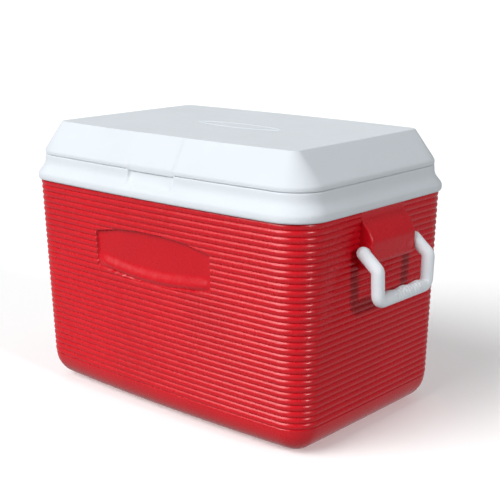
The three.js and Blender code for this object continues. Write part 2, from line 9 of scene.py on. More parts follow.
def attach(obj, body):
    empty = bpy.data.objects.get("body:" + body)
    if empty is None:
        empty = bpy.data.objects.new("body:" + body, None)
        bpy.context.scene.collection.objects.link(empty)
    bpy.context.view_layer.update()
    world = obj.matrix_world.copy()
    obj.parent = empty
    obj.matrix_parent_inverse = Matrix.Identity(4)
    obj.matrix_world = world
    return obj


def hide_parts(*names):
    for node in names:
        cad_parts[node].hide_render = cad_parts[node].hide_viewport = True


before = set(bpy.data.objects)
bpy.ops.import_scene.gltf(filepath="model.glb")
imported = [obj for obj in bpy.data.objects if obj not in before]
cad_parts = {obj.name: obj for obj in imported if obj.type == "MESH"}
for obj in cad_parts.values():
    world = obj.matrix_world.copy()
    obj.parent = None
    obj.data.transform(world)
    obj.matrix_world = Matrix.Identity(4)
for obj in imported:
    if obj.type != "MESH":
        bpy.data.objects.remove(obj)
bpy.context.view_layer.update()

# Insulated picnic cooler: ribbed red tub, white collar and lid, two swing handles, hinges and a drain.
# The shapes are worked out in millimetres and scaled to metres when a mesh is made.
# +X is the long side, the front faces -Y, +Z is up.

MM = 0.001

# ---------- driving dimensions, in millimetres ----------

# Plan sections: half length, half width, corner radius, and 1 where the sides bow outward.
BASE = np.array([275.4, 177.5, 38.0, 1.0])
WALL_TOP = np.array([286.0, 190.4, 50.0, 1.0])
BEAD = np.array([291.0, 195.0, 54.0, 1.0])
SEAM = np.array([281.0, 183.0, 47.0, 1.0])
LID_TOP = np.array([246.0, 157.0, 12.0, 1.0])
MOUTH = np.array([250.0, 151.0, 38.0, 0.0])
TUB_FLOOR = np.array([240.0, 140.0, 30.0, 0.0])
FRONT_BOW = 8.5
END_BOW = 1.0
CORNER_STEPS = 18

# Edges steeper than these angles stay crisp on the tub, or are bevelled on the hinges and the nut.
CREASE_DEGREES = 40.0
BEVEL_DEGREES = 35.0

# Levels and fillets.
LIP_Z = 340.0
DECK_Z = 379.8
LID_RIM_Z = 380.2
LID_SKIRT_Z = 387.0
LID_TOP_Z = 432.0
FLOOR_Z = 40.0
BASE_FILLET = 42.0
FLOOR_FILLET = 18.0
MOUTH_ROUND = 3.0
MOUTH_WALL_DROP = 12.0

# Ribs: rows are shares of half a pitch, from valley to valley.
RIB_COUNT = 32
RIB_PITCH = 9.27
RIB_TOP_Z = 335.2
RIB_CREST = 0.9
RIB_DEPTH = 2.1
RIB_FULLNESS = 2.2
RIB_ROWS = np.array([-1.0, -0.93, -0.74, -0.46, -0.16, 0.16, 0.46, 0.74, 0.93])

# The tub's rim and inside: height, and how far inside the wall's outer face.
TUB_INSIDE = [(339.8, 3.2), (350, 3.2), (350, 6), (332, 5.6), (42, 4.2), (20, 9), (8, 24), (4, 42)]

# The dish in the front. Its spans are measured from its ends, its top edge or its bottom edge.
PANEL_HALF = 121.5
PANEL_SIDE_Z = (222.0, 276.0)
PANEL_MIDDLE_Z = (211.0, 290.0)
PANEL_DEPTH = 4.6
PANEL_END_RISE = 0.9
PANEL_END_SPAN = (0.0, 22.0)
PANEL_TOP_EDGE = (0.2, 2.6)
PANEL_END_EDGE = (0.2, 2.8)
RIDGE_AT_ENDS = -1.6
RIDGE_RISE = 2.9
RIDGE_END_SPAN = (2.0, 18.0)
RIDGE_UNDERSIDE = -1.8
RIDGE_UNDERSIDE_SPAN = (-1.0, 8.0)
RIDGE_SLOPE_SPAN = (7.0, 24.0)

# The wedge behind each handle: heights and places of its face along X.
BOSS_HALF = 53.5
BOSS_PROFILE = [
    (256, 280), (264, 300), (267, 305), (272, 307.5), (297, 307.5), (301, 306.6), (307, 304),
    (313, 301), (319, 297), (325, 291.5), (329, 287.2), (337, 286.6),
]
BOSS_TOP_Z = 337.0
NO_BOSS_X = -1000.0
BOSS_BAND = 1.0
BOSS_EDGE_R = 2.6

# Swing handles: the pivot and the bend are places along X and Z.
PIVOT = (299.0, 285.0)
ARM_BEND = (324.0, 264.0)
ARM_Y = 64.0
GRIP_CORNER_Y = 61.3
GRIP_Z = 218.7
GRIP_BLEND_Z = (3.0, 10.0)
HANDLE_R = 9.5
HANDLE_SIDES = 40
HANDLE_STEP = 0.55
HANDLE_BENDS = [4, 12, 12, 4]
BEND_STEPS = 16
WAVE_PITCH = 35.0
WAVE_HEIGHT = 1.9
WAVE_FADE_Y = (44.0, 54.0)
GROOVE_PITCH = 7.0
GROOVE_SPAN = (-31.5, 38.5)
GROOVE_DEPTH = 1.5
GROOVE_TILT = 0.35
GROOVE_FACE = (0.45, 0.62)

# Turned pieces start this close to their axis where they have no bore.
AXIS_R = 0.01
STUB_PROFILE = [(AXIS_R, 44), (4.2, 44), (5, 44.8), (5, 60)]
SOCKET_R = 5.6
SOCKET_END_Y = 43.0

# The collar: heights, and shares of the way from the seam's section out to the bead's. The tuck has both
# in pairs, and the deck's rows are distances outside the mouth.
COLLAR_Z = [340.2, 340.0, 340.4, 341.4, 343.0, 346.0, 349.0, 350.8, 352.5, 354.5, 356.5, 358.5, 361.5,
            365.0, 369.0, 372.5, 375.5, 377.6, 378.9, 379.6, 379.8]
COLLAR_OUT = [0.55, 0.75, 0.88, 0.96, 1.0, 1.0, 0.98, 0.94, 0.86, 0.74, 0.6, 0.47, 0.29,
              0.14, 0.06, 0.03, 0.015, 0.0, -0.02, -0.07, -0.13]
COLLAR_TUCK = [(346.0, 0.1), (341.0, 0.3)]
DECK_OUTSETS = [16, 5, 3]

# The thumb notch: heights and places of its face along Y.
NOTCH_HALF = 49.0
NOTCH_EDGE = 4.5
NOTCH_PROFILE = [
    (352.5, -199), (354.2, -192), (357.5, -187), (363, -182.5), (370, -179), (377, -177.2), (380, -176.8),
]

# The lid's outline from its rim up: the skirt's heights and insets, the slope's heights, the rounded edge
# as shares of the slope and heights, and the insets of the rows across the flat top.
LID_SKIRT = [
    (380.2, 1.4), (380.35, 0.7), (380.9, 0.15), (382, 0), (385, 0), (386.2, 0.15), (387.4, 0.6), (389, 1.5),
]
LID_SLOPE_Z = np.array([392, 397, 403, 409, 415, 420, 424, 426.5])
LID_EDGE = [(0.915, 428.1), (0.94, 429.3), (0.965, 430.4), (0.985, 431.2), (1.0, 431.7), (1.01, 431.9)]
LID_TOP_INSETS = np.array([2.4, 5, 9, 14, 22, 32])
LID_FLAT_Z = 431.8
# The lid's inside: height, share of the way from the seam's section to the top's, and offset.
LID_INSIDE = [(380.3, 0, -7), (387, 0, -7), (400, 0.25, -7.6), (425, 0.8, -8), (429, 1, -10)]
# The pan under the lid: heights, with offsets from the mouth and then from the seam.
PAN_PLUG = [
    (360, -20), (360.3, -13), (361.2, -10), (363, -7.6), (365, -6.3), (367, -5.8), (377, -3.4), (379, -3),
    (380.2, -1.5),
]
PAN_RIM = [(380.3, -12), (380.3, -8.4), (381, -7.6), (383.4, -7.6)]

# The thumb dip in the lid's front: values at its lower end and at the lid's top.
DIP_HALF = (52.5, 50.5)
DIP_DEPTH = (3.0, 1.7)
DIP_EDGE = 10.0
DIP_FADE = 20.0
DIP_TAB = 3.0
DIP_TAB_FADE_Z = (383.0, 388.0)

BADGE_CENTRE = (17.0, -6.0)
BADGE_HALF = (84.0, 19.0)
BADGE_STEPS = 72
BADGE_TIP = 1.35
BADGE_PROFILE = [(1.3, -0.1), (1.1, 0.35), (0.4, 0.6), (-0.4, 0.6), (-1.1, 0.35), (-1.3, -0.1)]

# Hinge pads, and the screws that hold the leaves on them.
HINGE_XS = (-150.0, 150.0)
HINGE_PAD_HALF = 27.0
HINGE_PAD_Y = 187.4
HINGE_PAD_SIDE = 1.6
HINGE_PAD_ROUND = 2.5
COLLAR_PAD_Z = (359.0, 384.0)
LID_PAD_Z = (380.6, 404.0)
LID_PAD_FOOT_Z = 383.0
SCREW_SEAT_Y = 189.8
SCREW_TIP_Y = 181.6
SCREW_SHIFT = 14.0
BODY_SCREW_Z = 369.0
LID_SCREW_Z = 392.0
CROSS_LENGTH = 3.4
CROSS_WIDTH = 0.75
LEAF_BEVEL = 0.35

# The drain, along X at the -X end.
DRAIN_Z = 60.0
DRAIN_BORE_R = 6.5
DRAIN_HOLE_R = 9.4
TUB_WALL_X = (-320.0, -250.0)
LINER_WALL_X = (-250.0, -225.0)
THREAD_X = (-280.0, -228.0)
THREAD_PITCH = 2.4
THREAD_R = (8.6, 9.0)
PLUG_BEADS_X = (-285.5, -281.0, -276.5)
PLUG_BEAD_HALF = 1.6

# ---------- stage and camera: metres and degrees, with the lens and sensor in millimetres ----------

FLOOR_HALF = 60.0
FLOOR_DROP = 0.0005
BACKDROP_RADIUS = 50.0
BACKDROP_HEIGHT = 120.0
BACKDROP_SEGMENTS = 96
LOW_SKY = 0.45
HIGH_SKY = 0.26
SKY_SPAN = (-0.3, 0.1)
CAMERA_AZIMUTH = 41.411
CAMERA_ELEVATION = 14.128
CAMERA_ROLL = -0.134
CAMERA_DISTANCE = 1.7474
CAMERA_SIDE = 0.02526
CAMERA_TARGET_Z = 0.2286
CAMERA_LENS = 77.89
CAMERA_SENSOR = 36.0


# ---------- mesh helpers ----------

def smoothstep(low, high, value):
    """0 up to low, 1 from high, and a soft step between them."""
    t = np.clip((np.asarray(value, float) - low) / (high - low), 0, 1)
    return t * t * (3 - 2 * t)


def new_object(name, points, faces, smooth=True):
    """A mesh object from points in millimetres."""
    mesh = bpy.data.meshes.new(name)
    mesh.from_pydata([tuple(p) for p in np.asarray(points) * MM], [], faces)
    mesh.polygons.foreach_set("use_smooth", [smooth] * len(mesh.polygons))
    mesh.update()
    obj = bpy.data.objects.new(name, mesh)
    bpy.context.scene.collection.objects.link(obj)
    return obj


def grid_faces(rows, columns):
    """Quads over a grid of rows whose columns close on themselves."""
    faces = []
    for row in range(rows - 1):
        low = row * columns
        high = low + columns
        for i in range(columns):
            j = (i + 1) % columns
            faces.append((low + i, low + j, high + j, high + i))
    return faces


def grid_object(name, grid, close_first=False, close_last=False):
    """An object from a (rows, columns, 3) grid, with either end closed by one face."""
    rows, columns = grid.shape[:2]
    faces = grid_faces(rows, columns)
    if close_first:
        faces.append(tuple(reversed(range(columns))))
    if close_last:
        faces.append(tuple((rows - 1) * columns + i for i in range(columns)))
    return new_object(name, grid.reshape(-1, 3), faces)


def sharpen(obj, degrees):
    """Keeps the shading crisp across edges steeper than the given angle."""
    obj.data.set_sharp_from_angle(angle=math.radians(degrees))


def join(target, others):
    """Moves the meshes of the others into the target."""
    mesh = bmesh.new()
    mesh.from_mesh(target.data)
    for other in others:
        mesh.from_mesh(other.data)
    mesh.to_mesh(target.data)
    mesh.free()
    for other in others:
        bpy.data.objects.remove(other)
    return target


def add_bevel(obj, width):
    """Softens an object's edges with a bevel of the given width."""
    bevel = obj.modifiers.new("soft_edges", "BEVEL")
    bevel.width = width * MM
    bevel.segments = 2
    bevel.limit_method = "ANGLE"
    bevel.angle_limit = math.radians(BEVEL_DEGREES)
    bevel.harden_normals = True


# ---------- plan stations ----------

class Plan:
    """Stations round a rounded rectangle, anticlockwise from the middle of the +X end.

    Marks are fixed places on the straight sides, so that a column can follow a vertical edge at
    every level. Corner steps divide each corner's arc."""

    def __init__(self, x_marks, y_marks, corner_steps):
        rows = []
        xs = sorted(set(x_marks) | {-x for x in x_marks})
        ys = sorted(set(y_marks) | {-y for y in y_marks})
        for quarter, (sx, sy) in enumerate([(1, 1), (-1, 1), (-1, -1), (1, -1)]):
            for step in range(corner_steps + 1):
                angle = (quarter + step / corner_steps) * math.pi / 2
                rows.append((1, sx, sy, math.cos(angle), math.sin(angle), 0, 0))
            if quarter % 2 == 0:
                places = reversed(xs) if sy > 0 else xs
                rows += [(0, 0, sy, 0, sy, x, 0) for x in places]
            else:
                places = reversed(ys) if sx < 0 else ys
                rows += [(0, sx, 0, sx, 0, 0, y) for y in places]
        table = np.array(rows, float).T
        self.corner, self.sx, self.sy, self.nx, self.ny, self.x_mark, self.y_mark = table
        self.front = (self.corner == 0) & (self.sy < 0)
        self.back = (self.corner == 0) & (self.sy > 0)
        self.end = (self.corner == 0) & (self.sx != 0)

    def points(self, sections, heights, offsets=0.0):
        """The (rows, columns, 3) grid for one section and height per row, pushed out by offsets."""
        x, y, r, bow = (np.asarray(sections, float)[:, i:i + 1] for i in range(4))
        at_corner = self.corner == 1
        px = np.where(at_corner, self.sx * (x - r) + r * self.nx, self.sx * x + self.x_mark)
        py = np.where(at_corner, self.sy * (y - r) + r * self.ny, self.sy * y + self.y_mark)
        # A side's own columns only move across it, so that they keep their marks.
        bow_x = np.where(self.front | self.back, 0, bow * END_BOW * (py / y) ** 2 * (px / x))
        bow_y = np.where(self.end, 0, bow * FRONT_BOW * (px / x) ** 2 * (py / y))
        grid = np.empty(px.shape + (3,))
        grid[..., 0] = px - bow_x + self.nx * offsets
        grid[..., 1] = py - bow_y + self.ny * offsets
        grid[..., 2] = np.asarray(heights, float)[:, None]
        return grid


def spaced(limit, step):
    """Places from 0 to a limit, a step apart."""
    return list(np.arange(0, limit, step)) + [limit]


def edge_marks(edge, spread):
    """Close-set places on both sides of an edge."""
    return [edge + d for d in spread]


def mix(low, high, share):
    """Sections between two others, one for each share."""
    share = np.asarray(share, float)[..., None]
    return low + (high - low) * share


def grow(sections, by):
    """The sections, larger by the given amounts all round."""
    grown = np.array(sections, float)
    grown[..., :3] += np.asarray(by, float)[..., None]
    grown[..., 2] = np.maximum(grown[..., 2], 4)
    return grown


def wall_at(z):
    """The tub's outer sections at the given heights."""
    return mix(BASE, WALL_TOP, np.asarray(z, float) / LIP_Z)


def well_at(z):
    """The food well's sections at the given heights."""
    return mix(TUB_FLOOR, MOUTH, (z - FLOOR_Z) / (DECK_Z - FLOOR_Z))


# ---------- red tub ----------

def rib_rows():
    """Heights across the ribs, closest together at the valleys."""
    crests = RIB_TOP_Z - np.arange(RIB_COUNT - 1, -1, -1) * RIB_PITCH
    rows = (crests[:, None] + RIB_ROWS * RIB_PITCH / 2).ravel()
    return np.append(rows, RIB_TOP_Z + RIB_PITCH / 2)


def rib_offset(z):
    """Half-round ribs with narrow valleys between them."""
    lowest = RIB_TOP_Z - (RIB_COUNT - 0.5) * RIB_PITCH
    phase = (z - lowest) / RIB_PITCH % 1 * 2 - 1
    ribs = RIB_CREST - RIB_DEPTH * np.abs(phase) ** RIB_FULLNESS
    return np.where(z < lowest - 0.01, 0.0, ribs)


def panel_offset(x, z, ribs):
    """The lens-shaped dish in the front: steep at the top and ends, with a soft ridge along the bottom."""
    arch = 1 - (np.clip(np.abs(x), 0, PANEL_HALF) / PANEL_HALF) ** 2
    top = PANEL_SIDE_Z[1] + (PANEL_MIDDLE_Z[1] - PANEL_SIDE_Z[1]) * arch
    bottom = PANEL_SIDE_Z[0] + (PANEL_MIDDLE_Z[0] - PANEL_SIDE_Z[0]) * arch
    from_end = PANEL_HALF - np.abs(x)
    ridge = RIDGE_AT_ENDS + RIDGE_RISE * smoothstep(*RIDGE_END_SPAN, from_end)
    rise = z - bottom
    floor = -PANEL_DEPTH + PANEL_END_RISE * (1 - smoothstep(*PANEL_END_SPAN, from_end))
    underside = RIDGE_UNDERSIDE + (ridge - RIDGE_UNDERSIDE) * smoothstep(*RIDGE_UNDERSIDE_SPAN, rise)
    slope = ridge + (floor - ridge) * smoothstep(*RIDGE_SLOPE_SPAN, rise)
    dish = np.where(rise < RIDGE_UNDERSIDE_SPAN[1], np.minimum(underside, slope), slope)
    inside_top = smoothstep(*PANEL_TOP_EDGE, top - z)
    inside_ends = smoothstep(*PANEL_END_EDGE, from_end)
    inside = inside_top * inside_ends * (rise > 0)
    return ribs + (dish - ribs) * inside


def boss_offset(y, z, wall_x, ribs):
    """The smooth wedge that carries each handle, with rounded side edges."""
    heights, faces = np.array(BOSS_PROFILE).T
    full = np.interp(z, heights, faces, left=NO_BOSS_X, right=NO_BOSS_X) - wall_x
    inside = BOSS_HALF - np.abs(y)
    depth = np.clip(BOSS_EDGE_R - inside, 0, BOSS_EDGE_R)
    inset = BOSS_EDGE_R - np.sqrt(BOSS_EDGE_R ** 2 - depth ** 2)
    raised = np.maximum(ribs, full - inset)
    smooth_band = (z > BOSS_TOP_Z) & (inside >= 0)
    raised = np.where(smooth_band, np.maximum(raised, BOSS_BAND), raised)
    return np.where(inside >= 0, raised, ribs)


def tub_plan():
    """Columns round the tub, closest together at the dish's ends and the bosses' sides."""
    x_marks = spaced(112, 8) + edge_marks(PANEL_HALF, [-6, -4, -2.8, -2, -1.2, -0.5, 0, 0.6, 4])
    x_marks += [136, 150, 164, 178, 192, 206, 220]
    y_marks = spaced(44, 6.5) + [47, 49.5] + edge_marks(BOSS_HALF, [-2.6, -2, -1.4, -0.8, -0.35, -0.1, 0])
    y_marks += [53.6, 53.9, 54.6, 56, 62, 72, 84, 96, 108, 120, 128]
    return Plan(x_marks, y_marks, CORNER_STEPS)


def tub_skin():
    """The red tub: base fillet, ribbed walls, rim and inside in one closed skin."""
    plan = tub_plan()
    angles = np.radians(np.linspace(0, 90, 13))
    fillet_z = BASE_FILLET * (1 - np.cos(angles))
    fillet_in = BASE_FILLET * (1 - np.sin(angles))
    z = np.concatenate([fillet_z, rib_rows()])
    shrink = np.concatenate([fillet_in, np.zeros(len(z) - len(fillet_z))])
    sections = grow(wall_at(z), -shrink)
    flat = plan.points(sections, z)
    rows_z = flat[..., 2]
    ribs = rib_offset(rows_z)
    offsets = np.where(plan.front, panel_offset(flat[..., 0], rows_z, ribs), ribs)
    on_end = boss_offset(flat[..., 1], rows_z, np.abs(flat[..., 0]), ribs)
    offsets = np.where(plan.end, on_end, offsets)
    outside = plan.points(sections, z, offsets)
    rim_z, rim_in = np.array(TUB_INSIDE).T
    inside = plan.points(grow(wall_at(np.minimum(rim_z, LIP_Z)), -rim_in), rim_z)
    return grid_object("tub_skin", np.concatenate([outside, inside]), True, True)


# ---------- white liner and collar ----------

def notch_offset(x, z, front_y):
    """How far the thumb notch is scooped back into the collar."""
    heights, depths = np.array(NOTCH_PROFILE).T
    scoop = np.interp(z, heights, depths) - front_y
    inside = smoothstep(0, NOTCH_EDGE, NOTCH_HALF - np.abs(x))
    return -np.maximum(scoop, 0) * inside


def hinge_pad_offset(x, z, back_y, low_z, high_z):
    """Flat pads that stand out at the back under the hinge leaves."""
    near = np.min([np.abs(x - hinge) for hinge in HINGE_XS], axis=0)
    inside = smoothstep(0, HINGE_PAD_SIDE, HINGE_PAD_HALF - near)
    foot = smoothstep(low_z, low_z + HINGE_PAD_ROUND, z)
    rise = foot * (1 - smoothstep(high_z - HINGE_PAD_ROUND, high_z, z))
    return np.maximum(HINGE_PAD_Y - back_y, 0) * inside * rise


def white_plan():
    """Columns round the collar and the lid, closest together at the notch and the hinge pads."""
    x_marks = spaced(36, 6) + [39] + edge_marks(NOTCH_HALF, [-5, -3.2, -2.4, -1.6, -0.8, 0, 1, 4])
    x_marks += [56, 66, 78, 92, 106, 117, 121]
    pad_start = HINGE_XS[1] - HINGE_PAD_HALF
    pad_end = HINGE_XS[1] + HINGE_PAD_HALF
    x_marks += edge_marks(pad_start, [-0.6, 0, 0.5, 1, 1.6, 3, 8, 18, 27, 36, 46, 51])
    x_marks += edge_marks(pad_end, [-1.6, -1, -0.5, 0, 0.6, 4, 14, 26])
    y_marks = spaced(105, 7.5)
    return Plan(x_marks, y_marks, CORNER_STEPS)


def liner_skin():
    """The collar, the deck and the food well, as one skin that is closed at the well's floor."""
    plan = white_plan()
    z = np.array(COLLAR_Z)
    out = np.array(COLLAR_OUT)
    span = BEAD - SEAM
    sections = SEAM + span * out[:, None]
    flat = plan.points(sections, z)
    x, y, rows_z = flat[..., 0], flat[..., 1], flat[..., 2]
    offsets = np.where(plan.front, notch_offset(x, rows_z, y), 0.0)
    offsets = np.where(plan.back, hinge_pad_offset(x, rows_z, y, *COLLAR_PAD_Z), offsets)
    collar = plan.points(sections, z, offsets)
    deck_rows = len(DECK_OUTSETS)
    deck = plan.points(grow([MOUTH] * deck_rows, DECK_OUTSETS), [DECK_Z] * deck_rows)
    lip_angles = np.radians([18, 36, 54, 72, 90])
    lip = plan.points(grow([MOUTH] * len(lip_angles), MOUTH_ROUND - MOUTH_ROUND * np.sin(lip_angles)),
                      DECK_Z - MOUTH_ROUND + MOUTH_ROUND * np.cos(lip_angles))
    wall_z = np.linspace(DECK_Z - MOUTH_WALL_DROP, FLOOR_Z + FLOOR_FILLET, 10)
    walls = plan.points(well_at(wall_z), wall_z)
    turn = np.radians(np.linspace(0, 90, 8))
    low_z = FLOOR_Z + FLOOR_FILLET * (1 - np.sin(turn))
    low_in = FLOOR_FILLET * (1 - np.cos(turn))
    low = plan.points(grow(well_at(low_z), -low_in), low_z)
    tuck_z, tuck_out = np.array(COLLAR_TUCK).T
    tuck = plan.points(SEAM + span * tuck_out[:, None], tuck_z)
    return grid_object("liner_skin", np.concatenate([tuck, collar, deck, lip, walls, low]), False, True)


# ---------- lid ----------

def dip_share(x, z):
    """How much of the thumb dip's depth a place has. Its sides lean inward and blend softly."""
    up = np.clip((z - LID_RIM_Z) / (LID_TOP_Z - LID_RIM_Z), 0, 1)
    half = DIP_HALF[0] + (DIP_HALF[1] - DIP_HALF[0]) * up
    return smoothstep(0, DIP_EDGE, half - np.abs(x))


def dip_offset(x, z):
    """The shallow dip in the middle of the front, deepest at the lid's lower edge."""
    up = np.clip((z - LID_SKIRT_Z) / (LID_TOP_Z - LID_SKIRT_Z), 0, 1)
    depth = DIP_DEPTH[0] + (DIP_DEPTH[1] - DIP_DEPTH[0]) * up
    return -depth * dip_share(x, z)


def lid_rows():
    """Sections and heights up the outside of the lid and across its top."""
    skirt_z, skirt_in = np.array(LID_SKIRT).T
    skirt = grow([SEAM] * len(skirt_z), -skirt_in)
    slope = mix(SEAM, LID_TOP, (LID_SLOPE_Z - LID_SKIRT_Z) / (LID_TOP_Z - LID_SKIRT_Z))
    edge_share, edge_z = np.array(LID_EDGE).T
    edge = mix(SEAM, LID_TOP, edge_share)
    top = grow([LID_TOP] * len(LID_TOP_INSETS), -LID_TOP_INSETS)
    top_z = np.full(len(LID_TOP_INSETS), LID_TOP_Z)
    heights = np.concatenate([skirt_z, LID_SLOPE_Z, edge_z, top_z])
    return np.concatenate([skirt, slope, edge, top]), heights


def lid_skin():
    """The lid's shell, outside and inside, with the dip in front and the hinge pads at the back."""
    plan = white_plan()
    sections, z = lid_rows()
    flat = plan.points(sections, z)
    x, rows_z = flat[..., 0], flat[..., 2]
    on_flat = z[:, None] > LID_FLAT_Z
    fade = 1 - smoothstep(0, DIP_FADE, LID_TOP[1] - sections[:, 1:2]) * on_flat
    offsets = np.where(plan.front, dip_offset(x, rows_z) * fade, 0.0)
    pads = hinge_pad_offset(x, rows_z, flat[..., 1], *LID_PAD_Z) * (rows_z > LID_PAD_FOOT_Z)
    offsets = np.where(plan.back, pads, offsets)
    grid = plan.points(sections, z, offsets)
    tab_fade = 1 - smoothstep(*DIP_TAB_FADE_Z, rows_z)
    grid[..., 2] -= DIP_TAB * dip_share(x, rows_z) * tab_fade * plan.front
    inner_z, inner_share, inner_offset = np.array(LID_INSIDE).T
    inner = plan.points(grow(mix(SEAM, LID_TOP, inner_share), inner_offset), inner_z)
    return grid_object("lid_skin", np.concatenate([inner[::-1], grid]), True, True)


def lid_pan():
    """The white pan under the lid, with the plug that drops into the mouth."""
    plan = Plan(spaced(200, 25), spaced(105, 21), 14)
    plug_z, plug_in = np.array(PAN_PLUG).T
    rim_z, rim_in = np.array(PAN_RIM).T
    sections = np.concatenate([grow([MOUTH] * len(plug_in), plug_in), grow([SEAM] * len(rim_in), rim_in)])
    return grid_object("lid_pan", plan.points(sections, np.concatenate([plug_z, rim_z])), True, True)


def lozenge_path(half_x, half_y):
    """A lens shape: an ellipse that is drawn in toward its two tips."""
    points = []
    for i in range(BADGE_STEPS):
        t = 2 * math.pi * i / BADGE_STEPS
        x = half_x * math.cos(t)
        y = half_y * math.copysign(abs(math.sin(t)) ** BADGE_TIP, math.sin(t))
        points.append((x, y))
    return points


def lid_badge():
    """A thin raised outline on the lid top, with nothing written in it."""
    grid = []
    for side, rise in BADGE_PROFILE:
        ring = lozenge_path(BADGE_HALF[0] + side, BADGE_HALF[1] + side)
        grid.append([(BADGE_CENTRE[0] + x, BADGE_CENTRE[1] + y, LID_TOP_Z + rise) for x, y in ring])
    return grid_object("lid_badge", np.array(grid))


# ---------- swing handles ----------

def rounded_polyline(corners, reaches, step):
    """Evenly spaced points along straight runs that are joined by quadratic curves."""
    corners = [np.array(c, float) for c in corners]
    points = [corners[0]]
    for before, corner, after, reach in zip(corners, corners[1:], corners[2:], reaches):
        start = corner + (before - corner) / np.linalg.norm(before - corner) * reach
        end = corner + (after - corner) / np.linalg.norm(after - corner) * reach
        for t in np.linspace(0, 1, BEND_STEPS):
            points.append((1 - t) ** 2 * start + 2 * t * (1 - t) * corner + t ** 2 * end)
    points.append(corners[-1])
    points = np.array(points)
    lengths = np.concatenate([[0], np.cumsum(np.linalg.norm(np.diff(points, axis=0), axis=1))])
    places = np.linspace(0, lengths[-1], int(lengths[-1] / step) + 1)
    return np.stack([np.interp(places, lengths, points[:, i]) for i in range(3)], axis=1)


def grip_radius(points, angle):
    """The tube's radius: finger waves on the inner top of the grip and grooves across its outer face."""
    y = points[:, 1:2]
    low_blend, high_blend = GRIP_BLEND_Z
    on_grip = 1 - smoothstep(GRIP_Z + low_blend, GRIP_Z + high_blend, points[:, 2:3])
    upward = np.clip(np.sin(angle), 0, 1) ** 1.5
    wave = 0.5 + 0.5 * np.cos(2 * math.pi * y / WAVE_PITCH)
    waves = WAVE_HEIGHT * wave * (1 - smoothstep(*WAVE_FADE_Y, np.abs(y)))
    outward = smoothstep(*GROOVE_FACE, np.cos(angle - GROOVE_TILT))
    low_y, high_y = GROOVE_SPAN
    in_span = (y > low_y) & (y < high_y)
    grooves = (0.5 + 0.5 * np.cos(2 * math.pi * (y - low_y) / GROOVE_PITCH)) ** 3
    return HANDLE_R + on_grip * (waves * upward - GROOVE_DEPTH * grooves * outward * in_span)


def swing_handle(name, side):
    """One bail with domed ends and its two stub pins. Side is 1 at the +X end and -1 at the other."""
    pivot_x, pivot_z = PIVOT
    bend_x, bend_z = ARM_BEND
    corners = [
        (pivot_x, -ARM_Y, pivot_z), (bend_x, -ARM_Y, bend_z), (bend_x, -GRIP_CORNER_Y, GRIP_Z),
        (bend_x, GRIP_CORNER_Y, GRIP_Z), (bend_x, ARM_Y, bend_z), (pivot_x, ARM_Y, pivot_z),
    ]
    path = rounded_polyline(corners, HANDLE_BENDS, HANDLE_STEP)
    tangents = np.gradient(path, axis=0)
    tangents /= np.linalg.norm(tangents, axis=1)[:, None]
    # The section's first axis points away from the cooler, and its second one into the bail's loop.
    outward = np.array([1.0, 0, 0]) - tangents * tangents[:, :1]
    outward /= np.linalg.norm(outward, axis=1)[:, None]
    inward = np.cross(outward, tangents)
    angle = np.linspace(0, 2 * math.pi, HANDLE_SIDES, endpoint=False)[None, :]
    radius = grip_radius(path, angle)
    circle = outward[:, None, :] * np.cos(angle)[..., None] + inward[:, None, :] * np.sin(angle)[..., None]
    tube = path[:, None, :] + circle * radius[..., None]
    cap_angles = np.radians(np.linspace(84, 8, 10))
    start_cap = [path[0] - tangents[0] * HANDLE_R * math.sin(a) + circle[0] * HANDLE_R * math.cos(a)
                 for a in cap_angles]
    end_cap = [path[-1] + tangents[-1] * HANDLE_R * math.sin(a) + circle[-1] * HANDLE_R * math.cos(a)
               for a in cap_angles[::-1]]
    grid = np.concatenate([np.array(start_cap), tube, np.array(end_cap)])
    grid[..., 0] *= side
    bail = grid_object(name, grid, True, True)
    recalculate(bail)
    stubs = []
    for end in (-1, 1):
        stubs.append(turned(name + "_stub", STUB_PROFILE, (0, end, 0), (side * pivot_x, 0, pivot_z), 24))
    return join(bail, stubs)


# ---------- turned pieces ----------

def turned(name, profile, axis, origin, sides=48):
    """A solid of revolution: profile points are (radius, distance along the axis)."""
    grid = []
    for radius, along in profile:
        ring = []
        for i in range(sides):
            angle = 2 * math.pi * i / sides
            ring.append((radius * math.cos(angle), radius * math.sin(angle), along))
        grid.append(ring)
    turn = Vector((0, 0, 1)).rotation_difference(Vector(axis))
    matrix = np.array(turn.to_matrix())
    points = np.array(grid) @ matrix.T + np.array(origin)
    obj = grid_object(name, points)
    recalculate(obj)
    return obj


def recalculate(obj):
    """Welds a mesh's doubled points and faces it outward."""
    mesh = bmesh.new()
    mesh.from_mesh(obj.data)
    bmesh.ops.remove_doubles(mesh, verts=mesh.verts, dist=1e-6)
    bmesh.ops.recalc_face_normals(mesh, faces=mesh.faces)
    mesh.to_mesh(obj.data)
    mesh.free()


def drain_spout():
    """The flanged spout with its bore and ring-shaped thread."""
    root_r, crest_r = THREAD_R
    profile = [(DRAIN_BORE_R, -287.8), (7.2, -288.1), (15.2, -288.1), (16.4, -287.6), (17, -286.6),
               (17, -283.4), (16.6, -282.9), (crest_r, -282.8)]
    for ring_x in np.arange(*THREAD_X, THREAD_PITCH):
        profile += [(root_r, ring_x), (crest_r, ring_x + THREAD_PITCH / 2)]
    profile += [(root_r, -226.8), (8.1, -226.5), (DRAIN_BORE_R, -226.5), (DRAIN_BORE_R, -287.8)]
    return turned("spout", profile, (1, 0, 0), (0, 0, DRAIN_Z), 64)


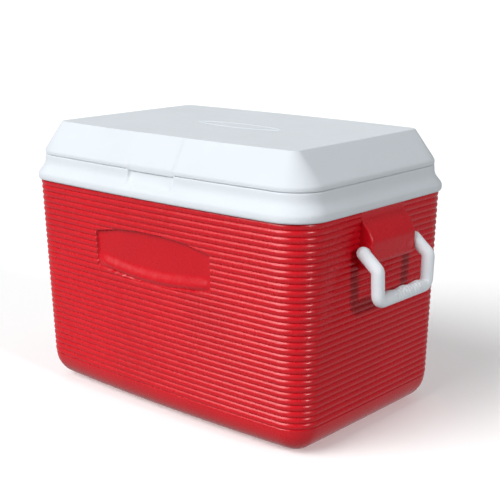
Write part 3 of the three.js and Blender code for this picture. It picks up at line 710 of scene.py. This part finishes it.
def drain_plug():
    """The push-in plug: a flat head, and a stem with three sealing beads."""
    profile = [(AXIS_R, -291.4), (3, -291.3), (7.5, -290.6), (9.6, -291.8), (11.2, -292), (12, -291),
               (12, -288.9), (11.6, -288.4), (6.3, -288.4)]
    for bead_x in PLUG_BEADS_X:
        profile += [(5.7, bead_x - PLUG_BEAD_HALF), (6.2, bead_x), (5.7, bead_x + PLUG_BEAD_HALF)]
    profile += [(5.4, -272), (4.4, -270.5), (AXIS_R, -270.4)]
    return turned("plug", profile, (1, 0, 0), (0, 0, DRAIN_Z), 64)


def hinge_screw(name, x, z):
    """A domed screw head with a plain cross recess, on its shank."""
    y = SCREW_SEAT_Y
    profile = [(AXIS_R, SCREW_TIP_Y), (1.5, 183.2), (1.6, y), (3.4, y), (3.4, y + 0.35), (3.1, y + 0.8),
               (2.3, y + 1.2), (1.2, y + 1.35), (AXIS_R, y + 1.4)]
    screw = turned(name, profile, (0, 1, 0), (x, 0, z), 28)
    cutters = []
    for wide, tall in ((CROSS_LENGTH, CROSS_WIDTH), (CROSS_WIDTH, CROSS_LENGTH)):
        low = np.array([x - wide / 2, y + 0.75, z - tall / 2])
        high = np.array([x + wide / 2, y + 4, z + tall / 2])
        corners = [[(low, high)[i][0], (low, high)[j][1], (low, high)[k][2]]
                   for i in (0, 1) for j in (0, 1) for k in (0, 1)]
        faces = [(0, 1, 3, 2), (4, 6, 7, 5), (0, 4, 5, 1), (2, 3, 7, 6), (0, 2, 6, 4), (1, 5, 7, 3)]
        cutters.append(new_object(name + "_cut", corners, faces, False))
    for cutter in cutters:
        cut_away(screw, cutter)
    return screw


def cut_away(obj, cutter):
    """Takes the cutter's volume out of the object's mesh for good."""
    boolean = obj.modifiers.new("cut", "BOOLEAN")
    boolean.operation = "DIFFERENCE"
    boolean.solver = "EXACT"
    boolean.object = cutter
    graph = bpy.context.evaluated_depsgraph_get()
    mesh = bpy.data.meshes.new_from_object(obj.evaluated_get(graph))
    obj.modifiers.remove(boolean)
    old = obj.data
    obj.data = mesh
    mesh.name = old.name
    bpy.data.meshes.remove(old)
    bpy.data.objects.remove(cutter)


def drill_drain(obj, start, end):
    """Cuts the drain's round hole through a wall at the -X end."""
    profile = [(AXIS_R, start), (DRAIN_HOLE_R, start), (DRAIN_HOLE_R, end), (AXIS_R, end)]
    cut_away(obj, turned("drill", profile, (1, 0, 0), (0, 0, DRAIN_Z), 48))


def cut_sockets(tub):
    """Blind round sockets in the sides of the bosses, for the stub pins of the handles."""
    mouth_y = BOSS_HALF + 2
    profile = [(AXIS_R, SOCKET_END_Y), (SOCKET_R, SOCKET_END_Y), (SOCKET_R, mouth_y), (AXIS_R, mouth_y)]
    for side in (-1, 1):
        for end in (-1, 1):
            centre = (side * PIVOT[0], 0, PIVOT[1])
            cut_away(tub, turned("socket_drill", profile, (0, end, 0), centre, 32))


# ---------- materials ----------

PATCH_SCALE = 9
GLOSS_SCALE = 60
GRAIN_SCALE = 1400
GRAIN_HEIGHT = 0.0004
FOAM_CELL_SCALE = 700
FOAM_CELL_HEIGHT = 0.0006


def node_plastic(name, colour, roughness, grain, wear_and_crest_light, spread, gloss=0.5):
    """Moulded plastic: fine grain, slow colour and gloss changes, and lighter convex edges, partly rubbed
    wear and partly a painted highlight along the rib crests.
    """
    material = bpy.data.materials.new(name)
    material.use_nodes = True
    nodes = material.node_tree.nodes
    links = material.node_tree.links
    shader = nodes["Principled BSDF"]
    place = nodes.new("ShaderNodeTexCoord").outputs["Object"]

    def noise(scale, detail=2, rough=0.5):
        node = nodes.new("ShaderNodeTexNoise")
        node.inputs["Scale"].default_value = scale
        node.inputs["Detail"].default_value = detail
        node.inputs["Roughness"].default_value = rough
        links.new(place, node.inputs["Vector"])
        return node.outputs["Fac"]

    def remap(source, low, high, to_low, to_high):
        node = nodes.new("ShaderNodeMapRange")
        node.inputs["From Min"].default_value = low
        node.inputs["From Max"].default_value = high
        node.inputs["To Min"].default_value = to_low
        node.inputs["To Max"].default_value = to_high
        links.new(source, node.inputs["Value"])
        return node.outputs["Result"]

    def blend(share, first, second):
        node = nodes.new("ShaderNodeMix")
        node.data_type = "RGBA"
        links.new(share, node.inputs["Factor"])
        for socket, value in ((node.inputs["A"], first), (node.inputs["B"], second)):
            if isinstance(value, tuple):
                socket.default_value = value
            else:
                links.new(value, socket)
        return node.outputs["Result"]

    darker = tuple(c * (1 - spread) for c in colour) + (1,)
    lighter = tuple(min(c * (1 + spread), 1) for c in colour) + (1,)
    body = blend(remap(noise(PATCH_SCALE, 3), 0.35, 0.65, 0, 1), darker, lighter)
    # Convex edges and rib crests turn lighter: partly rubbed wear, partly a painted highlight on the
    # crests.
    edge = nodes.new("ShaderNodeNewGeometry").outputs["Pointiness"]
    worn_and_lit = tuple(min(c + 0.12 * wear_and_crest_light, 1) for c in colour) + (1,)
    rubbed_and_lit = remap(edge, 0.51, 0.58, 0, wear_and_crest_light)
    links.new(blend(rubbed_and_lit, body, worn_and_lit), shader.inputs["Base Color"])
    gloss_change = remap(noise(GLOSS_SCALE, 4, 0.6), 0.3, 0.7, roughness - 0.05, roughness + 0.05)
    links.new(gloss_change, shader.inputs["Roughness"])
    bump = nodes.new("ShaderNodeBump")
    bump.inputs["Strength"].default_value = grain
    bump.inputs["Distance"].default_value = GRAIN_HEIGHT
    links.new(noise(GRAIN_SCALE), bump.inputs["Height"])
    links.new(bump.outputs["Normal"], shader.inputs["Normal"])
    shader.inputs["Specular IOR Level"].default_value = gloss
    return material


def node_foam(name, colour):
    """Rigid foam: small cells in the bump and a mottled cream colour."""
    material = node_plastic(name, colour, roughness=0.9, grain=0.2, wear_and_crest_light=0.1, spread=0.12)
    nodes = material.node_tree.nodes
    cells = nodes.new("ShaderNodeTexVoronoi")
    cells.inputs["Scale"].default_value = FOAM_CELL_SCALE
    bump = nodes.new("ShaderNodeBump")
    bump.inputs["Strength"].default_value = 0.6
    bump.inputs["Distance"].default_value = FOAM_CELL_HEIGHT
    links = material.node_tree.links
    links.new(cells.outputs["Distance"], bump.inputs["Height"])
    links.new(bump.outputs["Normal"], nodes["Principled BSDF"].inputs["Normal"])
    return material


def node_steel(name):
    """Stainless steel with a fine grain in its bump."""
    material = node_plastic(name, (0.60, 0.61, 0.63), roughness=0.3, grain=0.25, wear_and_crest_light=0.3, spread=0.05)
    material.node_tree.nodes["Principled BSDF"].inputs["Metallic"].default_value = 1.0
    return material


RED = node_plastic("red_plastic_look", (0.53, 0.0015, 0.009),
                   roughness=0.27, grain=0.012, wear_and_crest_light=0.3, spread=0.04, gloss=0.42)
WHITE = node_plastic("white_plastic_look", (0.60, 0.637, 0.672),
                     roughness=0.5, grain=0.04, wear_and_crest_light=0.3, spread=0.015, gloss=0.08)
# The handles get a lighter copy of the white plastic: partly a separately moulded part, partly painted
# light that brightens the shaded grip.
HANDLE = node_plastic("handle_lightened_plastic_look", (0.72, 0.755, 0.79),
                      roughness=0.45, grain=0.04, wear_and_crest_light=0.3, spread=0.015, gloss=0.12)
HINGE = node_plastic("hinge_plastic_look", (0.57, 0.61, 0.65),
                     roughness=0.4, grain=0.05, wear_and_crest_light=0.3, spread=0.02, gloss=0.3)
RUBBER = node_plastic("rubber_look", (0.028, 0.028, 0.030), roughness=0.75, grain=0.3, wear_and_crest_light=0.2, spread=0.2)
FOAM = node_foam("foam_look", (0.80, 0.70, 0.46))
STEEL = node_steel("steel_look")


# ---------- assembly ----------

def place(obj, material, body, slot, *replaced):
    """Gives a piece its look, the CAD nodes it replaces and its body. The slot argument is not used."""
    obj.data.materials.clear()
    obj.data.materials.append(material)
    if replaced:
        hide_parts(*replaced)
    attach(obj, body)


def build_cooler():
    tub = tub_skin()
    drill_drain(tub, *TUB_WALL_X)
    cut_sockets(tub)
    sharpen(tub, CREASE_DEGREES)
    place(tub, RED, "tub", "red_plastic", "outer_shell")
    liner = liner_skin()
    drill_drain(liner, *LINER_WALL_X)
    place(liner, WHITE, "tub", "white_plastic", "inner_liner")
    place(lid_skin(), WHITE, "lid", "white_plastic", "lid_shell")
    place(lid_pan(), WHITE, "lid", "white_plastic", "lid_liner")
    place(lid_badge(), WHITE, "lid", "white_plastic")
    place(swing_handle("bail_right", 1), HANDLE, "right_handle", "white_plastic", "handle_right")
    place(swing_handle("bail_left", -1), HANDLE, "left_handle", "white_plastic", "handle_left")
    place(drain_spout(), WHITE, "tub", "white_plastic", "drain_spout")
    place(drain_plug(), WHITE, "plug", "white_plastic", "drain_plug")
    for side, hinge_x in zip(("left", "right"), HINGE_XS):
        for part, body, z in (("body", "tub", BODY_SCREW_Z), ("lid", "lid", LID_SCREW_Z)):
            for letter, shift in (("a", -SCREW_SHIFT), ("b", SCREW_SHIFT)):
                node = f"screw_{part}_{side}_{letter}"
                place(hinge_screw("look_" + node, hinge_x + shift, z), STEEL, body, "steel", node)


def finish_cad_nodes():
    """Materials and soft edges for the CAD pieces that keep their own shape."""
    looks = {"tub_foam": FOAM, "lid_foam": FOAM, "drain_gasket": RUBBER, "drain_nut": WHITE}
    for side in ("left", "right"):
        looks[f"hinge_leaf_body_{side}"] = HINGE
        looks[f"hinge_leaf_lid_{side}"] = HINGE
        looks[f"hinge_pin_{side}"] = STEEL
    for name, material in looks.items():
        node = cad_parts[name]
        for place_in_list in range(len(node.data.materials)):
            node.data.materials[place_in_list] = material
        if name.startswith("hinge") or name == "drain_nut":
            add_bevel(node, LEAF_BEVEL)


# ---------- stage, light and camera ----------

def add_floor():
    """A plain pale floor just under the cooler."""
    mesh = bmesh.new()
    bmesh.ops.create_grid(mesh, x_segments=2, y_segments=2, size=FLOOR_HALF)
    data = bpy.data.meshes.new("studio_floor")
    mesh.to_mesh(data)
    mesh.free()
    floor = bpy.data.objects.new("studio_floor", data)
    bpy.context.scene.collection.objects.link(floor)
    floor.location.z = -FLOOR_DROP
    floor.visible_glossy = False
    floor.visible_diffuse = False
    material = bpy.data.materials.new("studio_floor_look")
    material.use_nodes = True
    shader = material.node_tree.nodes["Principled BSDF"]
    shader.inputs["Base Color"].default_value = (0.82, 0.82, 0.82, 1)
    shader.inputs["Roughness"].default_value = 0.9
    shader.inputs["Specular IOR Level"].default_value = 0.1
    shader.inputs["Emission Color"].default_value = (1, 1, 1, 1)
    shader.inputs["Emission Strength"].default_value = 0.2
    data.materials.append(material)


def add_backdrop():
    """A far white wall all round, hidden from diffuse, glossy, transmission and shadow rays."""
    mesh = bmesh.new()
    bmesh.ops.create_cone(mesh, cap_ends=False, segments=BACKDROP_SEGMENTS, radius1=BACKDROP_RADIUS,
                          radius2=BACKDROP_RADIUS, depth=BACKDROP_HEIGHT)
    data = bpy.data.meshes.new("studio_backdrop")
    mesh.to_mesh(data)
    mesh.free()
    backdrop = bpy.data.objects.new("studio_backdrop", data)
    bpy.context.scene.collection.objects.link(backdrop)
    backdrop.visible_diffuse = False
    backdrop.visible_glossy = False
    backdrop.visible_transmission = False
    backdrop.visible_shadow = False
    material = bpy.data.materials.new("studio_backdrop_look")
    material.use_nodes = True
    shader = material.node_tree.nodes["Principled BSDF"]
    shader.inputs["Base Color"].default_value = (0, 0, 0, 1)
    shader.inputs["Specular IOR Level"].default_value = 0
    shader.inputs["Emission Color"].default_value = (1, 1, 1, 1)
    shader.inputs["Emission Strength"].default_value = 1
    data.materials.append(material)


def soft_sun(name, azimuth, elevation, strength, spread):
    """A broad distant light. Azimuth 0 is straight in front of the cooler and 90 beyond its +X end."""
    light = bpy.data.lights.new(name, "SUN")
    light.energy = strength
    light.angle = math.radians(spread)
    lamp = bpy.data.objects.new(name, light)
    bpy.context.scene.collection.objects.link(lamp)
    turn, rise = math.radians(azimuth), math.radians(elevation)
    towards = Vector((math.sin(turn) * math.cos(rise), -math.cos(turn) * math.cos(rise), math.sin(rise)))
    lamp.rotation_euler = towards.to_track_quat("Z", "Y").to_euler()


def add_lights():
    """A pale sky that is brighter low down, and three broad suns."""
    world = bpy.data.worlds.new("studio_world")
    world.use_nodes = True
    nodes = world.node_tree.nodes
    links = world.node_tree.links
    height = nodes.new("ShaderNodeSeparateXYZ")
    links.new(nodes.new("ShaderNodeTexCoord").outputs["Generated"], height.inputs["Vector"])
    strength = nodes.new("ShaderNodeMapRange")
    strength.inputs["From Min"].default_value = SKY_SPAN[0]
    strength.inputs["From Max"].default_value = SKY_SPAN[1]
    strength.inputs["To Min"].default_value = LOW_SKY
    strength.inputs["To Max"].default_value = HIGH_SKY
    links.new(height.outputs["Z"], strength.inputs["Value"])
    background = nodes["Background"]
    background.inputs["Color"].default_value = (0.97, 0.985, 1, 1)
    links.new(strength.outputs["Result"], background.inputs["Strength"])
    bpy.context.scene.world = world
    soft_sun("key_light", azimuth=-18, elevation=36, strength=3.6, spread=46)
    soft_sun("end_light", azimuth=86, elevation=25, strength=1.1, spread=10)
    soft_sun("back_light", azimuth=215, elevation=16, strength=0.35, spread=50)


def add_camera():
    """Looks at the corner between the front and the +X end, from a little above."""
    azimuth = math.radians(CAMERA_AZIMUTH)
    elevation = math.radians(CAMERA_ELEVATION)
    roll = math.radians(CAMERA_ROLL)
    back = Vector((math.sin(azimuth) * math.cos(elevation), -math.cos(azimuth) * math.cos(elevation),
                   math.sin(elevation)))
    target = Vector((CAMERA_SIDE * math.cos(azimuth), CAMERA_SIDE * math.sin(azimuth), CAMERA_TARGET_Z))
    right = Vector((0, 0, 1)).cross(back).normalized()
    up = back.cross(right)
    rolled_right = right * math.cos(roll) + up * math.sin(roll)
    rolled_up = up * math.cos(roll) - right * math.sin(roll)
    data = bpy.data.cameras.new("photo_camera")
    data.sensor_width = CAMERA_SENSOR
    data.lens = CAMERA_LENS
    camera = bpy.data.objects.new("photo_camera", data)
    bpy.context.scene.collection.objects.link(camera)
    turn = Matrix((rolled_right, rolled_up, back)).transposed()
    camera.matrix_world = Matrix.Translation(target + back * CAMERA_DISTANCE) @ turn.to_4x4()
    bpy.context.scene.camera = camera


build_cooler()
finish_cad_nodes()
add_floor()
add_backdrop()
add_lights()
add_camera()
bpy.context.scene.view_settings.view_transform = "Standard"
